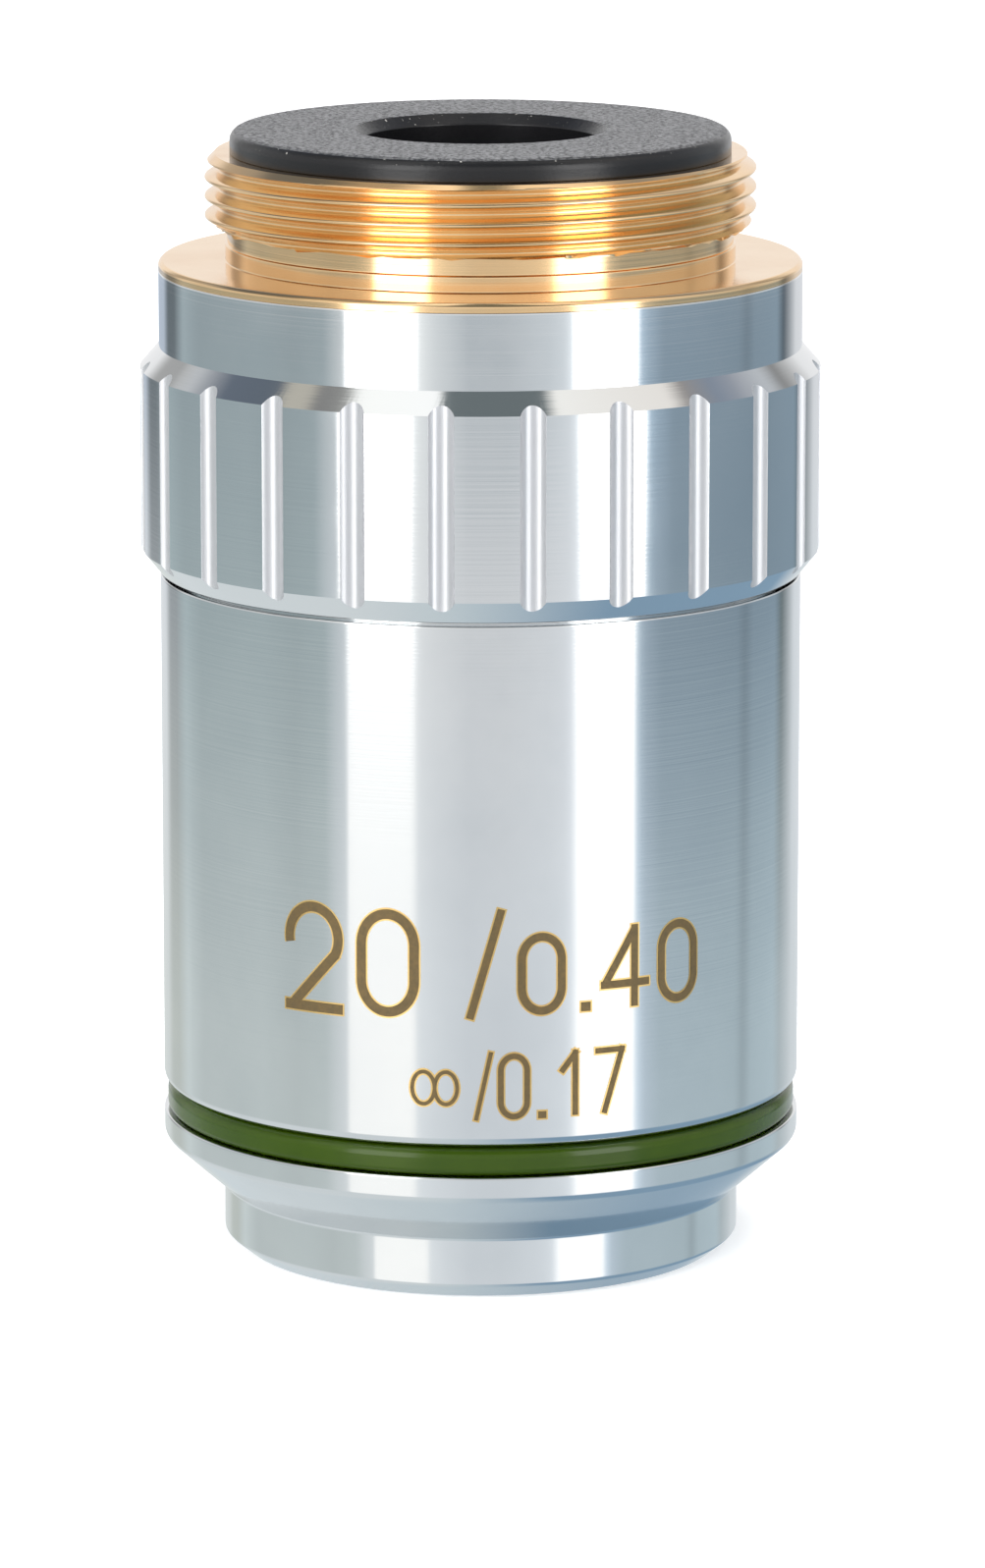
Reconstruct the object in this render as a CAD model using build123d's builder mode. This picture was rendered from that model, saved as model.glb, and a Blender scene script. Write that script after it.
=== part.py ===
"""Microscope objective: turned shells, thread ring, and the lens stack inside its main tube.

The nose face stands on Z = 0, the optical axis is Z, and the thread points up. All sizes are millimetres.
"""
import math
import os

from build123d import *

os.makedirs("parts", exist_ok=True)

# Fits and small clearances
slide_fit = 0.02
cement_gap = 0.02
shell_joint_gap = 0.12
end_gap = 0.15
shim_play = 0.1

# Standard objective thread, over its crests: a 55 degree form, 36 turns an inch
inch = 25.4
thread_diameter = 20.32
thread_turns_per_inch = 36
thread_pitch = inch / thread_turns_per_inch
thread_form_depth = 0.64
thread_depth = thread_form_depth * thread_pitch
thread_length = 2.65
thread_end_chamfer = 0.36

# Heights of the visible sections, from the nose face up
nose_chamfer_height = 0.52
nose_height = 2.3
cone_height = 2.0
lip_height = 0.88
colour_ring_height = 1.13
barrel_length = 19.35
grip_lower_chamfer = 0.86
grip_length = 6.75
grip_upper_chamfer = 0.8
collar_length = 2.81
flange_thickness = 0.35
neck_length = 1.3
stop_thickness = 0.85

# Radial steps of the visible sections
shoulder_width = 1.74
grip_proud = 0.7
nose_rim_width = 1.85
nose_chamfer_width = 0.65
groove_depth = 0.85
colour_ring_recess = 0.13
colour_ring_crown = 0.42
flange_bevel = 0.3
neck_relief = 0.36
barrel_edge_round = 0.35
lip_edge_round = 0.15

# Flutes of the grip
flute_count = 24
flute_cutter_diameter = 1.06
flute_depth = 0.3
flute_turn = 8.6

# Walls and joints of the shells
barrel_wall = 1.25
barrel_step = 0.6
barrel_tongue = 1.6
collar_wall = 0.95
skirt_wall = 1.0
skirt_length = 3.7
skirt_floor = 0.7
mount_neck_wall = 1.35
cap_skirt_wall = 1.0
cap_skirt_length = 1.9
nose_side_wall = 1.25
nose_end_wall = 1.6

# Rear stop
stop_margin = 0.46
stop_plug_length = 1.5
stop_hole_diameter = 8.56
stop_hole_chamfer = 0.38
stop_edge_round = 0.42

# Window and dish of the nose, with the front cell that looks out of it
window_gap = 0.2
dish_width = 1.4
dish_depth = 0.8
front_cell_recess = 0.35
front_cell_seat = 0.5
front_cell_wall = 0.65
front_cell_flange = 1.4
front_cell_taper = 0.6
front_cell_guide = 0.6

# Main tube, with the shim above it
tube_least_wall = 1.2
tube_lip_height = 1.0
tube_overlap = 0.7
shim_thickness = 0.2
lock_ring_depth = 2.5

# Lenses: a surface radius is negative where the surface bulges down
front_lens_diameter = 9.8
front_lens_edge = 1.2
front_lens_lower_surface = 20.0
front_lens_upper_surface = 8.0
second_lens_diameter = 12.0
second_lens_edge = 0.9
second_lens_lower_surface = 40.0
second_lens_upper_surface = 14.0
front_pair_diameter = 12.8
front_crown_edge = 0.8
front_flint_edge = 3.0
front_pair_lower_surface = -25.0
front_pair_cemented_surface = 11.0
front_pair_upper_surface = 60.0
rear_pair_diameter = 11.0
rear_flint_edge = 3.2
rear_crown_edge = 0.8
rear_pair_lower_surface = 60.0
rear_pair_cemented_surface = -9.0
rear_pair_upper_surface = 12.0
rear_lens_diameter = 9.6
rear_lens_edge = 2.8
rear_lens_lower_surface = 7.0
rear_lens_upper_surface = 9.0

# Cells and rings of the lens stack
seat_width = 0.55
seat_height = 0.7
cell_wall = 1.18
cell_headroom = 0.3
spacer_wall = 1.1
pair_spacer_length = 1.5
pupil_plate_thickness = 0.6
pupil_diameter = 7.2
lock_ring_height = 2.0
lock_ring_hole = 9.6
lock_slot_width = 1.0
lock_slot_depth = 0.8

# Screws that centre the rear pair
centring_play = 0.35
screw_count = 3
screw_turn = 30.0
screw_diameter = 1.6
screw_sink = 0.3
screw_slot_width = 0.3
screw_slot_depth = 0.4


def rise(surface_radius, rim_radius, radius=0.0):
    """Height of a spherical surface over its rim, at a radius: negative where it bulges down."""
    size = abs(surface_radius)
    height = math.sqrt(size**2 - radius**2) - math.sqrt(size**2 - rim_radius**2)
    return math.copysign(height, surface_radius)


# Levels of the visible sections
lip_z = nose_height + cone_height
groove_z = lip_z + lip_height
barrel_z = groove_z + colour_ring_height
grip_z = barrel_z + barrel_length
grip_land_z = grip_z + grip_lower_chamfer
grip_top_z = grip_land_z + grip_length
collar_z = grip_top_z + grip_upper_chamfer
flange_z = collar_z + collar_length
shoulder_z = flange_z + flange_thickness
thread_z = shoulder_z + neck_length
mount_end_z = thread_z + thread_length
top_z = mount_end_z + stop_thickness

# Radii of the lens stack, and of the window it looks through
widest_lens = max(second_lens_diameter, front_pair_diameter, rear_pair_diameter, rear_lens_diameter)
cell_radius = widest_lens / 2 + cell_wall
tube_bore = cell_radius + slide_fit
shank_radius = front_lens_diameter / 2 + front_cell_wall
guide_radius = (shank_radius + cell_radius) / 2
window_radius = shank_radius + window_gap

# Radii of the thread, and of the body: as wide as the thread's shoulder or the lens stack needs
thread_radius = thread_diameter / 2
thread_root_radius = thread_radius - thread_depth
neck_radius = thread_root_radius - neck_relief
stop_radius = thread_root_radius - stop_margin
stack_body_radius = tube_bore + tube_least_wall + slide_fit + cap_skirt_wall + slide_fit + barrel_wall
body_radius = max(thread_radius + shoulder_width, stack_body_radius)
grip_radius = body_radius + grip_proud
groove_radius = body_radius - groove_depth
nose_radius = window_radius + dish_width + nose_rim_width + nose_chamfer_width

# Radii and levels inside the shells
barrel_bore = body_radius - barrel_wall
tongue_radius = body_radius - barrel_step
tongue_top_z = grip_z + barrel_tongue
collar_bore = body_radius - collar_wall
skirt_radius = collar_bore - slide_fit
skirt_bore = skirt_radius - skirt_wall
skirt_z = flange_z - skirt_length
skirt_floor_z = shoulder_z - skirt_floor
mount_bore = neck_radius - mount_neck_wall
cap_top_z = barrel_z + cap_skirt_length

# Main tube: its outside fits the shells, its bore fits the widest cell
tube_radius = barrel_bore - slide_fit
cap_bore = tube_radius - cap_skirt_wall
tube_foot_radius = cap_bore - slide_fit
tube_head_radius = skirt_bore - slide_fit
tube_z = lip_z - tube_overlap
seat_z = tube_z + tube_lip_height
tube_step_z = cap_top_z + end_gap
tube_shoulder_z = skirt_z - end_gap
tube_top_z = skirt_floor_z - shim_thickness

# Levels of the lens stack, where each cell is as high as its lens needs
front_seat_z = front_cell_recess + front_cell_seat
second_cell_z = seat_z + front_cell_flange
second_rise = rise(second_lens_upper_surface, second_lens_diameter / 2)
second_cell_height = seat_height + second_lens_edge + second_rise + cell_headroom
front_pair_z = second_cell_z + second_cell_height
front_pair_drop = -rise(front_pair_lower_surface, front_pair_diameter / 2 - seat_width)
front_pair_seat = seat_height + front_pair_drop
front_flint_z = front_pair_z + front_pair_seat + front_crown_edge + cement_gap
front_pair_rise = rise(front_pair_upper_surface, front_pair_diameter / 2)
spacer_z = front_flint_z + front_flint_edge + front_pair_rise + cell_headroom
rear_pair_z = spacer_z + pair_spacer_length
rear_crown_z = rear_pair_z + seat_height + rear_flint_edge + cement_gap
rear_pair_rise = rise(rear_pair_upper_surface, rear_pair_diameter / 2)
rear_spacer_z = rear_crown_z + rear_crown_edge + rear_pair_rise + cell_headroom
lock_ring_z = tube_top_z - lock_ring_depth - lock_ring_height
pupil_plate_z = lock_ring_z - pupil_plate_thickness
rear_lens_rise = rise(rear_lens_upper_surface, rear_lens_diameter / 2)
rear_cell_height = seat_height + rear_lens_edge + rear_lens_rise + cell_headroom
rear_cell_z = pupil_plate_z - rear_cell_height

# Centring screws bear on the rear pair's cell, which floats in the tube
floating_radius = cell_radius - centring_play
screw_z = (rear_pair_z + rear_spacer_z) / 2
screw_head_radius = tube_radius - screw_sink


def make_nose_cap():
    """Turn the nose: flat end, cone, lip, groove of the colour ring, and the skirt on the main tube."""
    bore = nose_radius - nose_side_wall
    with BuildPart() as nose_cap:
        with BuildSketch(Plane.XZ):
            with BuildLine():
                Polyline(
                    (window_radius + dish_width, 0),
                    (nose_radius - nose_chamfer_width, 0),
                    (nose_radius, nose_chamfer_height),
                    (nose_radius, nose_height),
                    (body_radius, lip_z),
                    (body_radius, groove_z),
                    (groove_radius, groove_z),
                    (groove_radius, barrel_z),
                    (tube_radius, barrel_z),
                    (tube_radius, cap_top_z),
                    (cap_bore, cap_top_z),
                    (cap_bore, tube_z - end_gap),
                    (bore, tube_z - end_gap),
                    (bore, nose_end_wall),
                    (window_radius, nose_end_wall),
                    (window_radius, dish_depth),
                    close=True,
                )
            make_face()
        revolve(axis=Axis.Z)
        fillet(nose_cap.edges().filter_by_position(Axis.Z, lip_z, lip_z), lip_edge_round)
    return nose_cap


def make_colour_ring():
    """Turn the convex coloured ring that lies in the groove under the barrel sleeve."""
    inner = groove_radius + slide_fit
    crown = body_radius - colour_ring_recess
    edge = crown - colour_ring_crown
    high = barrel_z - slide_fit
    with BuildPart() as colour_ring:
        with BuildSketch(Plane.XZ):
            with BuildLine():
                Polyline((edge, high), (inner, high), (inner, groove_z), (edge, groove_z))
                ThreePointArc((edge, groove_z), (crown, (groove_z + high) / 2), (edge, high))
            make_face()
        revolve(axis=Axis.Z)
    return colour_ring


def make_barrel_sleeve():
    """Turn the plain sleeve, with a tongue that enters the grip sleeve."""
    end_z = grip_z - shell_joint_gap
    with BuildPart() as barrel_sleeve:
        with BuildSketch(Plane.XZ):
            with BuildLine():
                Polyline(
                    (barrel_bore, barrel_z),
                    (body_radius, barrel_z),
                    (body_radius, end_z),
                    (tongue_radius, end_z),
                    (tongue_radius, tongue_top_z),
                    (barrel_bore, tongue_top_z),
                    close=True,
                )
            make_face()
        revolve(axis=Axis.Z)
        lower_edges = barrel_sleeve.edges().filter_by_position(Axis.Z, barrel_z, barrel_z)
        fillet(lower_edges.sort_by(SortBy.LENGTH)[-1], barrel_edge_round)
    return barrel_sleeve


def make_grip_sleeve():
    """Turn the collar and grip in one piece, then mill the flutes, which run out in the chamfers."""
    tongue_bore = tongue_radius + slide_fit
    with BuildPart() as grip_sleeve:
        with BuildSketch(Plane.XZ):
            with BuildLine():
                Polyline(
                    (tongue_bore, grip_z),
                    (body_radius, grip_z),
                    (grip_radius, grip_land_z),
                    (grip_radius, grip_top_z),
                    (body_radius, collar_z),
                    (body_radius, flange_z),
                    (collar_bore, flange_z),
                    (collar_bore, tongue_top_z),
                    (tongue_bore, tongue_top_z),
                    close=True,
                )
            make_face()
        revolve(axis=Axis.Z)
        cutter_centre = grip_radius - flute_depth + flute_cutter_diameter / 2
        with BuildSketch(Plane.XY.offset(grip_z)):
            with PolarLocations(cutter_centre, flute_count, start_angle=flute_turn):
                Circle(flute_cutter_diameter / 2)
        extrude(amount=collar_z - grip_z, mode=Mode.SUBTRACT)
    return grip_sleeve


def make_thread_ring():
    """Turn the brass mount: thread land, relief neck, flange, and the skirt inside the collar."""
    chamfered = thread_radius - thread_end_chamfer
    with BuildPart() as thread_ring:
        with BuildSketch(Plane.XZ):
            with BuildLine():
                Polyline(
                    (mount_bore, mount_end_z),
                    (chamfered, mount_end_z),
                    (thread_radius, mount_end_z - thread_end_chamfer),
                    (thread_radius, thread_z + thread_end_chamfer / 2),
                    (chamfered, thread_z),
                    (neck_radius, thread_z),
                    (neck_radius, shoulder_z),
                    (body_radius - flange_bevel, shoulder_z),
                    (body_radius, shoulder_z - flange_bevel),
                    (body_radius, flange_z),
                    (skirt_radius, flange_z),
                    (skirt_radius, skirt_z),
                    (skirt_bore, skirt_z),
                    (skirt_bore, skirt_floor_z),
                    (mount_bore, skirt_floor_z),
                    close=True,
                )
            make_face()
        revolve(axis=Axis.Z)
    return thread_ring


def make_rear_stop():
    """Turn the black stop: a rounded disc with a chamfered hole, and a plug that fills the mount's bore."""
    hole_radius = stop_hole_diameter / 2
    plug_radius = mount_bore - slide_fit
    plug_z = mount_end_z - stop_plug_length
    with BuildPart() as rear_stop:
        with BuildSketch(Plane.XZ):
            with BuildLine():
                Polyline(
                    (hole_radius, plug_z),
                    (plug_radius, plug_z),
                    (plug_radius, mount_end_z),
                    (stop_radius, mount_end_z),
                    (stop_radius, top_z),
                    (hole_radius, top_z),
                    close=True,
                )
            make_face()
        revolve(axis=Axis.Z)
        top_edges = rear_stop.edges().filter_by_position(Axis.Z, top_z, top_z).sort_by(SortBy.LENGTH)
        chamfer(top_edges[0], stop_hole_chamfer)
        fillet(top_edges[-1], stop_edge_round)
    return rear_stop


def make_main_tube():
    """Turn the tube that carries the lens stack, and drill it for the centring screws."""
    lip_bore = guide_radius + slide_fit
    with BuildPart() as main_tube:
        with BuildSketch(Plane.XZ):
            with BuildLine():
                Polyline(
                    (lip_bore, tube_z),
                    (tube_foot_radius, tube_z),
                    (tube_foot_radius, tube_step_z),
                    (tube_radius, tube_step_z),
                    (tube_radius, tube_shoulder_z),
                    (tube_head_radius, tube_shoulder_z),
                    (tube_head_radius, tube_top_z),
                    (tube_bore, tube_top_z),
                    (tube_bore, seat_z),
                    (lip_bore, seat_z),
                    close=True,
                )
            make_face()
        revolve(axis=Axis.Z)
        with PolarLocations(0, screw_count, start_angle=screw_turn):
            with Locations((tube_radius, 0, screw_z)):
                Cylinder(
                    screw_diameter / 2 + slide_fit,
                    2 * (tube_radius - floating_radius),
                    rotation=(0, 90, 0),
                    mode=Mode.SUBTRACT,
                )
    return main_tube


def make_ring(outer, inner, low, height):
    """Turn a plain ring, such as a shim, a spacer or a plate."""
    with BuildPart() as ring:
        with BuildSketch(Plane.XY.offset(low)):
            Circle(outer)
            Circle(inner, mode=Mode.SUBTRACT)
        extrude(amount=height)
    return ring


def make_lock_ring():
    """Turn the ring that locks the lens stack, and saw its spanner slots."""
    with BuildPart() as lock_ring:
        with BuildSketch(Plane.XY.offset(lock_ring_z)):
            Circle(cell_radius)
            Circle(lock_ring_hole / 2, mode=Mode.SUBTRACT)
        extrude(amount=lock_ring_height)
        with BuildSketch(Plane.XY.offset(lock_ring_z + lock_ring_height)):
            Rectangle(2 * cell_radius, lock_slot_width)
        extrude(amount=-lock_slot_depth, mode=Mode.SUBTRACT)
    return lock_ring


def make_front_cell():
    """Turn the front lens's cell, whose shank reaches down to the window of the nose."""
    lens_radius = front_lens_diameter / 2
    clear_radius = lens_radius - seat_width
    lens_bore = lens_radius + slide_fit
    taper_z = tube_z - front_cell_guide
    with BuildPart() as front_cell:
        with BuildSketch(Plane.XZ):
            with BuildLine():
                Polyline(
                    (clear_radius, front_seat_z),
                    (clear_radius, front_cell_recess + front_cell_seat / 2),
                    (lens_radius, front_cell_recess),
                    (shank_radius, front_cell_recess),
                    (shank_radius, taper_z - front_cell_taper),
                    (guide_radius, taper_z),
                    (guide_radius, seat_z),
                    (cell_radius, seat_z),
                    (cell_radius, second_cell_z),
                    (lens_bore, second_cell_z),
                    (lens_bore, front_seat_z),
                    close=True,
                )
            make_face()
        revolve(axis=Axis.Z)
    return front_cell


def make_cell(outer, lens_diameter, low, seat, high):
    """Turn a lens cell: a ring with a seat for the lens, and a bore that takes the lens from above."""
    clear_radius = lens_diameter / 2 - seat_width
    lens_bore = lens_diameter / 2 + slide_fit
    with BuildPart() as cell:
        with BuildSketch(Plane.XZ):
            with BuildLine():
                Polyline(
                    (clear_radius, low),
                    (outer, low),
                    (outer, high),
                    (lens_bore, high),
                    (lens_bore, low + seat),
                    (clear_radius, low + seat),
                    close=True,
                )
            make_face()
        revolve(axis=Axis.Z)
    return cell


def make_lens(diameter, low, edge, lower_surface, upper_surface, flat):
    """Turn a lens from its two surfaces; the lower one may have a flat around it, to sit on."""
    rim = diameter / 2
    clear = rim - flat
    high = low + edge
    with BuildPart() as lens:
        with BuildSketch(Plane.XZ):
            with BuildLine():
                ThreePointArc(
                    (0, low + rise(lower_surface, clear)),
                    (clear / 2, low + rise(lower_surface, clear, clear / 2)),
                    (clear, low),
                )
                if flat > 0:
                    Line((clear, low), (rim, low))
                Line((rim, low), (rim, high))
                ThreePointArc(
                    (rim, high),
                    (rim / 2, high + rise(upper_surface, rim, rim / 2)),
                    (0, high + rise(upper_surface, rim)),
                )
                Line((0, high + rise(upper_surface, rim)), (0, low + rise(lower_surface, clear)))
            make_face()
        revolve(axis=Axis.Z)
    return lens


def make_centring_screws():
    """Turn the headless screws that point at the axis, and saw a slot in each outer end."""
    length = screw_head_radius - floating_radius
    with BuildPart() as centring_screws:
        with PolarLocations(0, screw_count, start_angle=screw_turn):
            with Locations((floating_radius + length / 2, 0, screw_z)):
                Cylinder(screw_diameter / 2, length, rotation=(0, 90, 0))
            with Locations((screw_head_radius, 0, screw_z)):
                Box(2 * screw_slot_depth, screw_slot_width, screw_diameter, mode=Mode.SUBTRACT)
    return centring_screws


def make_lenses():
    """Make the glass, from the front lens up."""
    front_pair_low = front_pair_z + front_pair_seat
    rear_pair_low = rear_pair_z + seat_height
    rear_lens_low = rear_cell_z + seat_height
    return {
        "front_lens": make_lens(
            front_lens_diameter, front_seat_z, front_lens_edge,
            front_lens_lower_surface, front_lens_upper_surface, seat_width),
        "second_lens": make_lens(
            second_lens_diameter, second_cell_z + seat_height, second_lens_edge,
            second_lens_lower_surface, second_lens_upper_surface, seat_width),
        "front_crown_lens": make_lens(
            front_pair_diameter, front_pair_low, front_crown_edge,
            front_pair_lower_surface, front_pair_cemented_surface, seat_width),
        "front_flint_lens": make_lens(
            front_pair_diameter, front_flint_z, front_flint_edge,
            front_pair_cemented_surface, front_pair_upper_surface, 0),
        "rear_flint_lens": make_lens(
            rear_pair_diameter, rear_pair_low, rear_flint_edge,
            rear_pair_lower_surface, rear_pair_cemented_surface, seat_width),
        "rear_crown_lens": make_lens(
            rear_pair_diameter, rear_crown_z, rear_crown_edge,
            rear_pair_cemented_surface, rear_pair_upper_surface, 0),
        "rear_lens": make_lens(
            rear_lens_diameter, rear_lens_low, rear_lens_edge,
            rear_lens_lower_surface, rear_lens_upper_surface, seat_width),
    }


def make_stack_rings():
    """Make the cells, spacers and plates that hold the glass in the main tube."""
    spacer_bore = cell_radius - spacer_wall
    spare = rear_cell_z - rear_spacer_z
    return {
        "front_cell": make_front_cell(),
        "second_cell": make_cell(
            cell_radius, second_lens_diameter, second_cell_z, seat_height, front_pair_z),
        "front_pair_cell": make_cell(
            cell_radius, front_pair_diameter, front_pair_z, front_pair_seat, spacer_z),
        "pair_spacer": make_ring(cell_radius, spacer_bore, spacer_z, pair_spacer_length),
        "rear_pair_cell": make_cell(
            floating_radius, rear_pair_diameter, rear_pair_z, seat_height, rear_spacer_z),
        "rear_spacer": make_ring(cell_radius, spacer_bore, rear_spacer_z, spare),
        "rear_cell": make_cell(
            cell_radius, rear_lens_diameter, rear_cell_z, seat_height, pupil_plate_z),
        "pupil_plate": make_ring(
            cell_radius, pupil_diameter / 2, pupil_plate_z, pupil_plate_thickness),
        "lock_ring": make_lock_ring(),
        "centring_screws": make_centring_screws(),
    }


def make_shells():
    """Make the outer shells, the mount and the main tube."""
    return {
        "nose_cap": make_nose_cap(),
        "colour_ring": make_colour_ring(),
        "barrel_sleeve": make_barrel_sleeve(),
        "grip_sleeve": make_grip_sleeve(),
        "main_tube": make_main_tube(),
        "parfocal_shim": make_ring(
            tube_head_radius - shim_play, mount_bore + shim_play, tube_top_z, shim_thickness),
        "thread_ring": make_thread_ring(),
        "rear_stop": make_rear_stop(),
    }


pieces = {**make_shells(), **make_stack_rings(), **make_lenses()}
for name, piece in pieces.items():
    piece.part.label = name
    export_step(piece.part, f"parts/{name}.step")
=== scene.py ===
"""Microscope objective, dressed for the camera.

It has plated shells, a brass mount, a black stop, a green ring and glass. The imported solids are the
frame. The visible ones are replaced here by finely turned pieces of the same outlines, and every
hidden one keeps its mesh and gets a finish of its own. Sizes are millimetres until a piece is
finished, and metres in its material.
"""
import logging
import math
import random
from dataclasses import dataclass, field
from enum import Enum

import bmesh
import bpy
from mathutils import Matrix, Vector


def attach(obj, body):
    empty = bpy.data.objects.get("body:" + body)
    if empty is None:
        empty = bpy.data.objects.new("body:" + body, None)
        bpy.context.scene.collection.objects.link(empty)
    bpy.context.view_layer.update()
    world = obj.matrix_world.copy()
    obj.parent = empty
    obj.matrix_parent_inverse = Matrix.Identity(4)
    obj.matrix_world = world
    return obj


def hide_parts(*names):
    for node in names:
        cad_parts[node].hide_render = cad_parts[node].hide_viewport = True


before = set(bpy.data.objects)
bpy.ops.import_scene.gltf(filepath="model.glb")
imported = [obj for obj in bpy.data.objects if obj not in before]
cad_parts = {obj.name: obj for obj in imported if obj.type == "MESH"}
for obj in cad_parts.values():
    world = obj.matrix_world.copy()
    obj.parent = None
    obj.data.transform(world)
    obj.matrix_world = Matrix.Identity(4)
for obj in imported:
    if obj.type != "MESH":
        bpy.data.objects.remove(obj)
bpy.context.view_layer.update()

LOG = logging.getLogger("objective")
MILLIMETRE = 0.001
BODY = "root"
WHITE = (1.0, 1.0, 1.0)
Colour = tuple[float, float, float]
Stops = list[tuple[float, Colour]]
Socket = bpy.types.NodeSocket
Node = bpy.types.Node
Material = bpy.types.Material


class Slot(Enum):
    """Material slots of the record."""

    PLATED = "plated_brass"
    BRASS = "bare_brass"
    BLACK_BRASS = "black_brass"
    BLACK_ALUMINIUM = "black_aluminium"
    ENAMEL = "green_enamel"
    CROWN = "crown_glass"
    FLINT = "flint_glass"
    STEEL = "plain_steel"


# ---------------------------------------------------------------- shader building


class Shader:
    """A node tree under construction, with short calls for its nodes and links."""

    def __init__(self, tree: bpy.types.NodeTree) -> None:
        """Start on a tree."""
        self.tree = tree

    def feed(self, socket: Socket, value: object) -> None:
        """Link an output to a socket, or set its value, where a colour is opaque.

        Args:
            socket: The input.
            value: An output's socket, a number, a vector or a colour.
        """
        if isinstance(value, bpy.types.NodeSocket):
            self.tree.links.new(value, socket)
        elif socket.type == "RGBA":
            socket.default_value = (*value, 1.0)
        else:
            socket.default_value = value

    def fill(self, made: Node, **inputs: object) -> Node:
        """Feed a node's inputs.

        Args:
            made: The node.
            inputs: Values or sockets for its inputs, by name, with _ for a space.

        Returns:
            The same node.
        """
        for key, value in inputs.items():
            self.feed(made.inputs[key.replace("_", " ")], value)
        return made

    def node(self, kind: str, **inputs: object) -> Node:
        """Add a node, named without its ShaderNode prefix, and feed its inputs."""
        return self.fill(self.tree.nodes.new("ShaderNode" + kind), **inputs)

    def group(self, inner: bpy.types.NodeTree, **inputs: object) -> Node:
        """Place a node group.

        Args:
            inner: The group.
            inputs: Values or sockets for its inputs, by name.

        Returns:
            The group's node.
        """
        made = self.node("Group")
        made.node_tree = inner
        return self.fill(made, **inputs)

    def math(self, operation: str, *values: object) -> Socket:
        """Add a Math node.

        Args:
            operation: The operation's name.
            values: Its operands, as numbers or sockets.

        Returns:
            The result's socket.
        """
        made = self.node("Math")
        made.operation = operation
        for socket, value in zip(made.inputs, values):
            self.feed(socket, value)
        return made.outputs[0]

    def times(self, first: object, second: object) -> Socket:
        """Multiply two numbers."""
        return self.math("MULTIPLY", first, second)

    def remap(
        self, value: object, low: float, high: float, to_low: float = 0.0, to_high: float = 1.0
    ) -> Socket:
        """Map a value from one range to another, clamped.

        Args:
            value: The value's socket.
            low: Where the first range starts.
            high: Where it ends.
            to_low: Result at its start.
            to_high: Result at its end.

        Returns:
            The result's socket.
        """
        made = self.node("MapRange")
        for socket, part in zip(made.inputs, (value, low, high, to_low, to_high)):
            self.feed(socket, part)
        return made.outputs[0]

    def blend(self, share: object, first: object, second: object) -> Socket:
        """Mix two colours.

        Args:
            share: Share of the second.
            first: The first colour.
            second: The second colour.

        Returns:
            The mixed colour's socket.
        """
        made = self.node("Mix")
        made.data_type = "RGBA"
        for index, part in ((0, share), (6, first), (7, second)):
            self.feed(made.inputs[index], part)
        return made.outputs[2]

    def ramp(self, share: object, stops: Stops) -> Socket:
        """Add a colour ramp.

        Args:
            share: Where along the ramp to read.
            stops: Places and colours, in order.

        Returns:
            The colour's socket.
        """
        made = self.node("ValToRGB", Fac=share)
        bands = made.color_ramp.elements
        while len(bands) < len(stops):
            bands.new(1.0)
        for band, (place, colour) in zip(bands, stops):
            band.position = place
            band.color = (*colour, 1.0)
        return made.outputs[0]

    def noise(self, place: object, scale: object, detail: float, roughness: float) -> Socket:
        """Add a noise texture."""
        made = self.node("TexNoise", Vector=place, Scale=scale, Detail=detail, Roughness=roughness)
        return made.outputs[0]

    def bump(self, height: object, depth: float) -> Socket:
        """Turn a height into a normal, for marks of a depth in metres."""
        return self.node("Bump", Height=height, Distance=depth, Strength=1.0).outputs[0]

    def facing_up(self) -> Socket:
        """Read how far a face looks up: 1 on a top, 0 on a wall, -1 underneath."""
        facing = self.node("SeparateXYZ", Vector=self.node("NewGeometry").outputs["True Normal"])
        return facing.outputs[2]

    def from_axis(self, place: object) -> Socket:
        """Measure how far a place is from the objective's axis.

        Args:
            place: The place's socket.

        Returns:
            The distance's socket.
        """
        flat = self.node("VectorMath")
        flat.operation = "MULTIPLY"
        self.feed(flat.inputs[0], place)
        self.feed(flat.inputs[1], (1.0, 1.0, 0.0))
        length = self.node("VectorMath")
        length.operation = "LENGTH"
        self.feed(length.inputs[0], flat.outputs[0])
        return length.outputs["Value"]

    def mirrored_rays(self, rays: Node) -> Socket:
        """Read whether a ray comes off polished metal or through glass."""
        glossy, through = rays.outputs["Is Glossy Ray"], rays.outputs["Is Transmission Ray"]
        return self.math("MAXIMUM", glossy, through)


def new_group(
    name: str, inputs: dict[str, float], outputs: tuple[str, ...]
) -> tuple[Shader, dict[str, Socket], Node]:
    """Start a node group that takes the piece's own coordinates and a few numbers.

    Args:
        name: The group's name.
        inputs: Its number inputs, with their starting values.
        outputs: Its number outputs.

    Returns:
        The shader to build in, the inputs' sockets by name, and the group's output node.
    """
    tree = bpy.data.node_groups.new(name, "ShaderNodeTree")
    tree.interface.new_socket("Place", in_out="INPUT", socket_type="NodeSocketVector")
    for key, value in inputs.items():
        made = tree.interface.new_socket(key, in_out="INPUT", socket_type="NodeSocketFloat")
        made.default_value = value
    for key in outputs:
        tree.interface.new_socket(key, in_out="OUTPUT", socket_type="NodeSocketFloat")
    given = tree.nodes.new("NodeGroupInput").outputs
    sockets = {key: given[key] for key in ("Place", *inputs)}
    return Shader(tree), sockets, tree.nodes.new("NodeGroupOutput")


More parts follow.
